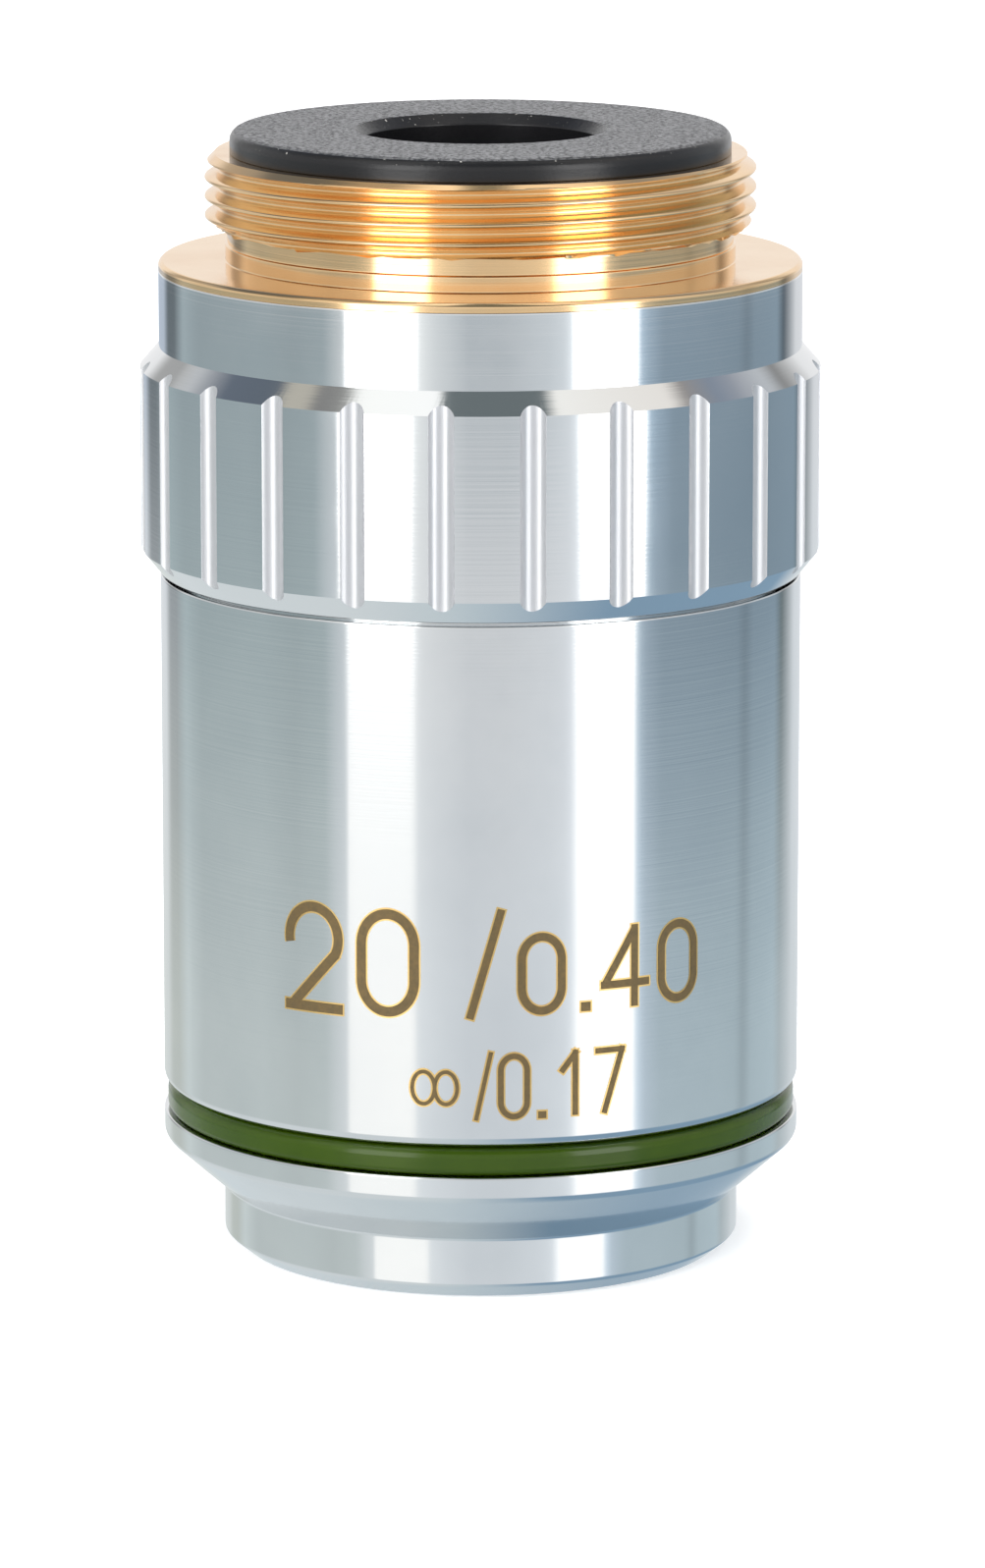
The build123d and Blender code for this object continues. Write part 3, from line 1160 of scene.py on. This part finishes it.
    def close_ends(self, form: bmesh.types.BMesh) -> None:
        """Carry both ends of the thread in to the core, and leave a ragged burr on the lower one.

        Args:
            form: The thread.
        """
        dice = random.Random(self.burr_seed)
        ends = ((self.thread_low, self.neck_radius - 0.05), (self.thread_high, self.bore + 0.1))
        for height, inner in ends:
            rim = [
                edge
                for edge in form.edges
                if edge.is_boundary
                and all(abs(vert.co.z - height) < self.thread_weld * 2 for vert in edge.verts)
            ]
            grown = bmesh.ops.extrude_edge_only(form, edges=rim)["geom"]
            for vert in (part for part in grown if isinstance(part, bmesh.types.BMVert)):
                grow(vert, inner / math.hypot(vert.co.x, vert.co.y))
            if height == self.thread_low:
                edge_verts = {vert for edge in rim for vert in edge.verts}
                for vert in sorted(edge_verts, key=lambda vert: math.atan2(vert.co.y, vert.co.x)):
                    grow(vert, 1.0 + dice.random() ** 3 * self.burr_swell)
                    vert.co.z -= dice.random() ** 2 * self.burr_drop

    def stop(self) -> None:
        """Turn the black stop with its chamfered hole."""
        form = self.lathe.turn(
            [
                Corner(self.hole, self.stop_low),
                Corner(self.plug_radius, self.stop_low),
                Corner(self.plug_radius, self.thread_high),
                Corner(self.stop_radius, self.thread_high, 0.03),
                Corner(self.stop_radius, self.stop_high, self.stop_rounding),
                Corner(self.hole + self.hole_chamfer, self.stop_high, 0.04),
                Corner(self.hole, self.stop_high - self.hole_chamfer, 0.03),
            ]
        )
        Piece("rear_stop_turned", STOP_BLACK, ("rear_stop",)).make(form)

    def build(self) -> None:
        """Build the mount's pieces."""
        self.flange()
        self.thread()
        self.stop()


class Stroke:
    """One stroke of a numeral, in the flat, in millimetres from the numeral's lower left corner."""

    def draw(self, form: bmesh.types.BMesh, width: float, lift: float) -> None:
        """Add the stroke's ribbon to a flat form.

        Args:
            form: The form, whose X runs along the barrel's circumference and Y up.
            width: The ribbon's width.
            lift: Its height over the barrel, as Z.
        """
        raise NotImplementedError


@dataclass(frozen=True)
class Straight(Stroke):
    """A straight stroke between two points, with square ends unless it joins a bend at each end."""

    start: tuple[float, float]
    end: tuple[float, float]
    overrun: float = 0.0
    joined: bool = False
    lap: float = 0.02

    def draw(self, form: bmesh.types.BMesh, width: float, lift: float) -> None:
        """Add the ribbon: a unit grid, stretched, turned and moved to its place.

        Args:
            form: The flat form.
            width: The ribbon's width.
            lift: Its height over the barrel.
        """
        first, last = Vector(self.start), Vector(self.end)
        run = last - first
        middle = (first + last) / 2
        length = run.length + (self.lap if self.joined else self.overrun + width)
        place = (
            Matrix.Translation((*middle, lift))
            @ Matrix.Rotation(math.atan2(run.y, run.x), 4, "Z")
            @ Matrix.Diagonal((length / 2, width / 2, 1, 1))
        )
        bmesh.ops.create_grid(form, x_segments=8, y_segments=2, size=1.0, matrix=place)


@dataclass(frozen=True)
class Bend(Stroke):
    """A curved stroke round a centre, from one angle to another, round or oval."""

    centre: tuple[float, float]
    reach: tuple[float, float]
    start: float
    end: float
    steps: int = 40

    def draw(self, form: bmesh.types.BMesh, width: float, lift: float) -> None:
        """Add the ribbon: a short edge spun round a centre, with ovals for its two rims.

        Args:
            form: The flat form.
            width: The ribbon's width.
            lift: Its height over the barrel.
        """
        before = set(form.verts)
        ends = [form.verts.new((reach, 0, 0)) for reach in (1.0, 2.0)]
        edge = form.edges.new(ends)
        turn = Matrix.Rotation(math.radians(self.start), 3, "Z")
        bmesh.ops.rotate(form, cent=(0, 0, 0), matrix=turn, verts=ends)
        sweep = self.end - self.start
        spin(form, [*ends, edge], math.radians(sweep), self.steps, closed=sweep >= 360)
        made = [vert for vert in form.verts if vert not in before]
        for ring, side in ((1.0, -0.5), (2.0, 0.5)):
            rim = [vert for vert in made if abs(vert.co.length - ring) < 0.1]
            along = (self.reach[0] + side * width) / ring
            up = (self.reach[1] + side * width) / ring
            bmesh.ops.scale(form, vec=(along, up, 1), verts=rim)
        bmesh.ops.translate(form, vec=(*self.centre, lift), verts=made)


class Numeral(Enum):
    """The signs that the barrel carries."""

    ZERO = "0"
    ONE = "1"
    TWO = "2"
    FOUR = "4"
    SEVEN = "7"
    POINT = "."
    SLASH = "/"
    ENDLESS = "endless"

    def strokes(self, wide: float, high: float, pen: float) -> list[Stroke]:
        """Lay out the sign's strokes.

        Args:
            wide: Width of the whole sign.
            high: Its height.
            pen: Width of a stroke.

        Returns:
            The strokes.
        """
        half = pen / 2
        left, right, low, top = half, wide - half, half, high - half
        across, middle = right - left, (left + right) / 2
        if self is Numeral.ZERO:
            turn = across / 2
            tall = turn * 1.15
            return [
                Bend((middle, top - tall), (turn, tall), 0, 180),
                Straight((left, top - tall), (left, low + tall), joined=True),
                Bend((middle, low + tall), (turn, tall), 180, 360),
                Straight((right, low + tall), (right, top - tall), joined=True),
            ]
        if self is Numeral.TWO:
            turn = across / 2
            tall = turn * 1.12
            foot = (left + half * 0.5, low)
            knee = math.radians(-28)
            hip = (middle + turn * math.cos(knee), top - tall + tall * math.sin(knee))
            return [
                Bend((middle, top - tall), (turn, tall), -32, 192),
                Straight(hip, foot, -half),
                Straight((left, low), (right, low)),
            ]
        if self is Numeral.FOUR:
            stem = left + across * 0.72
            bar = low + (top - low) * 0.27
            return [
                Straight((stem, low), (stem, top)),
                Straight((stem, top), (left, bar), -half),
                Straight((left, bar), (right, bar)),
            ]
        if self is Numeral.ONE:
            flag = (left, top - high * 0.24)
            return [Straight((right, low), (right, top)), Straight((right, top), flag)]
        if self is Numeral.SEVEN:
            foot = (left + across * 0.28, low)
            return [Straight((left, top), (right, top)), Straight((right, top), foot)]
        if self is Numeral.SLASH:
            return [Straight((left, low), (right, top))]
        if self is Numeral.ENDLESS:
            reach = (across / 4, (top - low) / 2)
            level = (low + top) / 2
            centres = ((left + reach[0], level), (right - reach[0], level))
            return [Bend(centre, reach, 0, 360) for centre in centres]
        return [Straight((left, low), (right, low))]


@dataclass(frozen=True)
class Mark:
    """A sign on the barrel: where it starts round the barrel, how high, its size and its pen."""

    sign: Numeral
    around: float
    height: float
    wide: float
    high: float
    pen: float


@dataclass
class Engraving:
    """The numbers on the barrel: magnification and aperture, then tube length and cover glass."""

    body_radius: float = 11.9
    rim: float = 0.06
    rim_lift: float = 0.003
    floor_lift: float = 0.012
    stroke_step: float = 0.00015
    marks: tuple[Mark, ...] = (
        Mark(Numeral.TWO, -7.654, 10.97, 2.55, 4.2, 0.48),
        Mark(Numeral.ZERO, -4.664, 11.05, 2.48, 4.1, 0.48),
        Mark(Numeral.SLASH, -0.564, 11.06, 1.48, 4.18, 0.40),
        Mark(Numeral.ZERO, 1.280, 11.18, 1.89, 3.16, 0.42),
        Mark(Numeral.POINT, 3.630, 11.22, 0.49, 0.49, 0.46),
        Mark(Numeral.FOUR, 4.398, 11.24, 2.08, 3.16, 0.40),
        Mark(Numeral.ZERO, 6.742, 11.17, 1.91, 3.19, 0.42),
        Mark(Numeral.ENDLESS, -2.635, 7.81, 1.91, 1.46, 0.26),
        Mark(Numeral.SLASH, -0.295, 7.29, 0.79, 2.67, 0.27),
        Mark(Numeral.ZERO, 0.562, 7.32, 1.29, 2.58, 0.33),
        Mark(Numeral.POINT, 2.033, 7.33, 0.42, 0.41, 0.38),
        Mark(Numeral.ONE, 2.843, 7.38, 0.80, 2.55, 0.33),
        Mark(Numeral.SEVEN, 4.189, 7.35, 1.28, 2.58, 0.33),
    )

    def layer(self, name: str, finish: Finish, inset: float, lift: float) -> None:
        """Draw every sign with one pen, and wrap the drawing round the barrel.

        Args:
            name: The piece's name.
            finish: Its finish.
            inset: How much narrower the pen is than the whole stroke.
            lift: Height over the barrel.
        """
        form = bmesh.new()
        step = 0.0
        for mark in self.marks:
            for stroke in mark.sign.strokes(mark.wide, mark.high, mark.pen):
                before = set(form.verts)
                stroke.draw(form, mark.pen - inset, lift + step)
                made = [vert for vert in form.verts if vert not in before]
                bmesh.ops.translate(form, vec=(mark.around, mark.height, 0), verts=made)
                step += self.stroke_step
        for vert in form.verts:
            angle = vert.co.x / self.body_radius
            reach = self.body_radius + vert.co.z
            vert.co = Vector((reach * math.sin(angle), -reach * math.cos(angle), vert.co.y))
        bmesh.ops.recalc_face_normals(form, faces=form.faces)
        inward = [
            face for face in form.faces if face.normal.xy.dot(face.calc_center_median().xy) < 0
        ]
        bmesh.ops.reverse_faces(form, faces=inward)
        Piece(name, finish).make(form)

    def build(self) -> None:
        """Build the bright rims, and the stained floors of the strokes."""
        self.layer("engraved_rims", EDGE_BRASS, 0.0, self.rim_lift)
        self.layer("engraved_floors", ENGRAVED, 2 * self.rim, self.floor_lift)


class HiddenStack:
    """The CAD nodes inside the shells, which keep their meshes and get their finishes."""

    finishes: dict[str, Finish] = {
        "main_tube": OXIDE,
        "parfocal_shim": STEEL,
        "second_cell": OXIDE,
        "front_pair_cell": OXIDE,
        "pair_spacer": OXIDE,
        "rear_pair_cell": OXIDE,
        "rear_spacer": OXIDE,
        "rear_cell": OXIDE,
        "pupil_plate": DARK_PLATE,
        "lock_ring": DARK_PLATE,
        "centring_screws": STEEL,
        "front_lens": CROWN,
        "second_lens": CROWN,
        "front_crown_lens": CROWN,
        "front_flint_lens": FLINT,
        "rear_flint_lens": FLINT,
        "rear_crown_lens": CROWN,
        "rear_lens": FLINT,
    }

    def dress(self) -> None:
        """Give each node its material."""
        for name, finish in self.finishes.items():
            SHELF.coat(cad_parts[name], finish)
            LOG.info("%s: CAD mesh, finish %s", name, finish.name)


# ---------------------------------------------------------------- the studio


def between(first: Colour, second: Colour, share: float) -> Colour:
    """Mix two colours, with a share of the second one."""
    return tuple(one + (other - one) * share for one, other in zip(first, second))


def scaled(colour: Colour, share: float) -> Colour:
    """Make a colour lighter or darker."""
    return tuple(part * share for part in colour)


@dataclass(frozen=True)
class Walls:
    """What the surround shows at one height, from behind round by the left and the front."""

    back_left: Colour
    gap_left: Colour
    left: Colour
    step: Colour
    strip_left: Colour
    fade_left: Colour
    middle: Colour
    fade_right: Colour
    strip_right: Colour
    glow: Colour
    right: Colour
    gap_right: Colour
    back_right: Colour

    def stops(self) -> Stops:
        """Lay the walls out by their bearings from the camera.

        Returns:
            Bearings in degrees, positive to the right, and colours.
        """
        return [
            (-180.0, self.back_left),
            (-157.0, self.back_left),
            (-150.0, self.gap_left),
            (-142.0, self.gap_left),
            (-133.0, scaled(self.left, 1.13)),
            (-128.0, scaled(self.left, 1.05)),
            (-120.0, scaled(self.left, 0.95)),
            (-85.0, self.left),
            (-70.0, scaled(self.left, 0.93)),
            (-57.5, self.left),
            (-53.5, between(self.left, self.step, 0.6)),
            (-49.2, self.step),
            (-48.3, self.strip_left),
            (-24.3, self.strip_left),
            (-22.3, self.fade_left),
            (-16.0, between(self.fade_left, self.middle, 0.5)),
            (-4.0, self.middle),
            (9.0, self.middle),
            (24.0, between(self.middle, self.fade_right, 0.28)),
            (30.0, between(self.middle, self.fade_right, 0.5)),
            (32.8, self.fade_right),
            (35.0, self.strip_right),
            (56.8, self.strip_right),
            (57.8, scaled(self.glow, 1.35)),
            (61.0, self.glow),
            (68.0, between(self.glow, self.right, 0.8)),
            (105.0, self.right),
            (110.0, scaled(self.right, 0.82)),
            (115.0, scaled(self.right, 1.03)),
            (132.0, scaled(self.right, 1.1)),
            (138.5, self.gap_right),
            (154.0, self.back_right),
        ]


GREY_HIGH = Walls(
    back_left=(0.50, 0.57, 0.67),
    gap_left=(0.15, 0.18, 0.20),
    left=(0.36, 0.43, 0.46),
    step=(0.64, 0.68, 0.70),
    strip_left=(4.0, 4.0, 4.0),
    fade_left=(1.07, 1.10, 1.10),
    middle=(0.48, 0.53, 0.57),
    fade_right=(1.05, 1.12, 1.18),
    strip_right=(4.0, 4.0, 4.0),
    glow=(0.42, 0.55, 0.68),
    right=(0.25, 0.33, 0.40),
    gap_right=(0.11, 0.14, 0.17),
    back_right=(0.76, 0.78, 0.81),
)
GREY_MIDDLE = Walls(
    back_left=(0.79, 0.82, 0.85),
    gap_left=(0.39, 0.42, 0.44),
    left=(0.42, 0.50, 0.52),
    step=(0.68, 0.73, 0.77),
    strip_left=(1.3, 1.3, 1.3),
    fade_left=(0.93, 0.94, 0.95),
    middle=(0.79, 0.80, 0.82),
    fade_right=(0.94, 0.97, 1.02),
    strip_right=(1.5, 1.5, 1.5),
    glow=(0.34, 0.43, 0.51),
    right=(0.24, 0.32, 0.39),
    gap_right=(0.15, 0.19, 0.20),
    back_right=(0.75, 0.79, 0.83),
)
GREY_LOW = Walls(
    back_left=(0.73, 0.77, 0.76),
    gap_left=(0.60, 0.64, 0.61),
    left=(0.63, 0.69, 0.69),
    step=(0.82, 0.86, 0.88),
    strip_left=(1.22, 1.22, 1.20),
    fade_left=(0.91, 0.95, 0.98),
    middle=(0.76, 0.80, 0.84),
    fade_right=(0.97, 1.02, 1.07),
    strip_right=(1.4, 1.4, 1.4),
    glow=(0.60, 0.70, 0.79),
    right=(0.49, 0.59, 0.64),
    gap_right=(0.51, 0.58, 0.61),
    back_right=(0.71, 0.76, 0.79),
)
HORIZON = Walls(
    back_left=(0.95, 0.95, 0.96),
    gap_left=(0.45, 0.45, 0.45),
    left=(0.72, 0.73, 0.74),
    step=(0.90, 0.90, 0.90),
    strip_left=(4.0, 4.0, 4.0),
    fade_left=(1.10, 1.10, 1.10),
    middle=(0.88, 0.88, 0.89),
    fade_right=(1.10, 1.10, 1.10),
    strip_right=(4.0, 4.0, 4.0),
    glow=(0.75, 0.77, 0.80),
    right=(0.62, 0.65, 0.68),
    gap_right=(0.28, 0.28, 0.28),
    back_right=(0.95, 0.95, 0.96),
)
CEILING: Stops = [
    (-180.0, (0.60, 0.64, 0.72)),
    (-152.0, (0.50, 0.56, 0.68)),
    (-140.0, (0.17, 0.20, 0.26)),
    (-104.0, (0.14, 0.17, 0.21)),
    (-100.0, (0.58, 0.55, 0.48)),
    (-93.0, (0.58, 0.55, 0.48)),
    (-89.0, (0.26, 0.26, 0.26)),
    (-80.0, (0.32, 0.32, 0.31)),
    (-74.0, (1.25, 1.25, 1.22)),
    (-32.0, (1.25, 1.25, 1.24)),
    (-26.0, (0.17, 0.20, 0.21)),
    (44.0, (0.17, 0.20, 0.21)),
    (52.0, (1.12, 1.10, 1.06)),
    (98.0, (1.00, 0.95, 0.90)),
    (104.0, (0.36, 0.34, 0.33)),
    (114.0, (0.27, 0.32, 0.40)),
    (124.0, (0.40, 0.42, 0.47)),
    (145.0, (0.60, 0.60, 0.64)),
    (165.0, (0.75, 0.75, 0.78)),
]
UNDER: Stops = [
    (-0.36, (0.76, 0.81, 0.83)),
    (-0.10, (0.64, 0.72, 0.76)),
    (0.12, (0.48, 0.58, 0.66)),
    (0.36, (0.26, 0.39, 0.52)),
]


LEVELS: list[tuple[Stops, float, float]] = [
    (GREY_MIDDLE.stops(), -8.5, -10.2),
    (GREY_LOW.stops(), -10.2, -13.1),
    (HORIZON.stops(), -8.1, -6.9),
    (CEILING, 24.0, 38.0),
]


@dataclass(frozen=True)
class Lamp:
    """A soft square lamp: its place and side in metres, and its power in watts."""

    name: str
    place: tuple[float, float, float]
    size: float
    power: float

    def hang(self, aim: Vector) -> None:
        """Hang the lamp so that it looks at a point, and polished metal doesn't show it.

        Args:
            aim: The point, in metres.
        """
        light = bpy.data.lights.new(self.name, "AREA")
        light.size = self.size
        light.energy = self.power
        made = bpy.data.objects.new(self.name, light)
        made.location = self.place
        made.rotation_euler = (aim - Vector(self.place)).to_track_quat("-Z", "Y").to_euler()
        made.visible_glossy = False
        made.visible_camera = False
        bpy.context.scene.collection.objects.link(made)


@dataclass(frozen=True)
class Viewpoint:
    """The photograph's camera: place in metres, turns in degrees, and lens and frame in pixels."""

    place: tuple[float, float, float] = (0.0, -0.304366, 0.079661)
    look_down: float = 11.566
    look_right: float = 0.0833
    focal_length: float = 8456.6
    frame_height: float = 1597.0
    sensor: float = 36.0
    nearest: float = 0.01

    def set_up(self) -> None:
        """Put a camera there and make it the scene's."""
        data = bpy.data.cameras.new("camera")
        data.sensor_width = self.sensor
        data.lens = self.focal_length / self.frame_height * self.sensor
        data.clip_start = self.nearest
        made = bpy.data.objects.new("camera", data)
        made.location = self.place
        turns = (90.0 - self.look_down, 0.0, -self.look_right)
        made.rotation_euler = [math.radians(turn) for turn in turns]
        bpy.context.scene.collection.objects.link(made)
        bpy.context.scene.camera = made


@dataclass
class Studio:
    """White floor and surround, two strip lights in the surround, soft lamps, and the camera."""

    floor_size: float = 4.0
    floor_gap: float = 0.00002
    floor_colour: Colour = (0.82, 0.82, 0.82)
    floor_glow: float = 0.45
    plain_wall: Colour = (0.62, 0.63, 0.64)
    under: tuple[float, float] = (-17.0, -28.0)
    aim: Vector = field(default_factory=lambda: Vector((0, 0, 0.02)))
    lamps: tuple[Lamp, ...] = (
        Lamp("overhead_lamp", (0.15, -0.25, 0.7), 0.5, 5.0),
        Lamp("side_lamp", (-0.6, -0.3, 0.3), 0.4, 3.0),
    )
    viewpoint: Viewpoint = Viewpoint()

    def surround(self) -> None:
        """Build the surround, which each kind of ray sees in its own way.

        The camera sees white, rough surfaces a plain wall, and polished ones strips and grey walls.
        LEVELS gives the heights in degrees between which each row of walls takes over.
        """
        world = bpy.data.worlds.new("studio")
        bpy.context.scene.world = world
        world.use_nodes = True
        shader = Shader(world.node_tree)
        view = shader.node("TexCoord").outputs["Generated"]
        parts = shader.node("SeparateXYZ", Vector=view).outputs
        bearing = shader.math("ARCTAN2", parts[0], shader.times(parts[1], -1.0))
        around = shader.math("ADD", shader.math("DIVIDE", bearing, math.tau), 0.5)
        rise = shader.times(shader.math("ARCSINE", parts[2]), 180.0 / math.pi)
        sky = self.round_ramp(shader, around, GREY_HIGH.stops())
        for stops, start, end in LEVELS:
            level = self.round_ramp(shader, around, stops)
            sky = shader.blend(shader.remap(rise, start, end), sky, level)
        across = shader.math("ADD", parts[0], 0.5)
        below = shader.ramp(across, [(place + 0.5, colour) for place, colour in UNDER])
        sky = shader.blend(shader.remap(rise, *self.under), sky, below)
        rays = shader.node("LightPath")
        plain = shader.blend(rays.outputs["Is Camera Ray"], self.plain_wall, WHITE)
        shown = shader.blend(shader.mirrored_rays(rays), plain, sky)
        shader.fill(world.node_tree.nodes["Background"], Color=shown)

    @staticmethod
    def round_ramp(shader: Shader, around: Socket, stops: Stops) -> Socket:
        """Read colours that are laid out by bearing.

        Args:
            shader: The world's shader.
            around: The bearing, from 0 to 1.
            stops: Bearings in degrees, and colours.

        Returns:
            The colour's socket.
        """
        turns = [((bearing + 180.0) / 360.0, colour) for bearing, colour in stops]
        return shader.ramp(around, turns)

    def floor_material(self) -> Material:
        """Build the floor's material.

        It is matt and keeps the shadow, with enough glow to look white to the camera. It is open
        from below, and to rays off polished metal and through glass, which see the surround.

        Returns:
            The material.
        """
        material = bpy.data.materials.new("white_floor")
        material.use_nodes = True
        nodes = material.node_tree.nodes
        nodes.remove(nodes["Principled BSDF"])
        shader = Shader(material.node_tree)
        rays = shader.node("LightPath")
        strength = shader.times(rays.outputs["Is Camera Ray"], self.floor_glow)
        matt = shader.node("BsdfDiffuse", Color=self.floor_colour)
        glow = shader.node("Emission", Color=WHITE, Strength=strength)
        solid = shader.node("AddShader")
        from_below = shader.node("NewGeometry").outputs["Backfacing"]
        open_to = shader.math("MAXIMUM", shader.mirrored_rays(rays), from_below)
        choice = shader.node("MixShader", Fac=open_to)
        clear = shader.node("BsdfTransparent")
        for socket, part in (
            (solid.inputs[0], matt),
            (solid.inputs[1], glow),
            (choice.inputs[1], solid),
            (choice.inputs[2], clear),
            (nodes["Material Output"].inputs["Surface"], choice),
        ):
            shader.feed(socket, part.outputs[0])
        return material

    def floor(self) -> None:
        """Lay the white floor just under the nose."""
        form = bmesh.new()
        bmesh.ops.create_grid(form, x_segments=1, y_segments=1, size=self.floor_size / 2)
        made = linked_object("floor", form)
        made.location.z = -self.floor_gap
        made.data.materials.append(self.floor_material())

    def build(self) -> None:
        """Build the studio."""
        self.surround()
        self.floor()
        for lamp in self.lamps:
            lamp.hang(self.aim)
        self.viewpoint.set_up()
        bpy.context.scene.view_settings.view_transform = "Standard"


def main() -> None:
    """Build the pieces in order, dress the hidden nodes, and set up the studio."""
    logging.basicConfig(level=logging.INFO, format="%(name)s: %(message)s")
    Nose().build()
    Shells().build()
    Mount().build()
    Engraving().build()
    HiddenStack().dress()
    Studio().build()


if __name__ == "__main__":
    main()
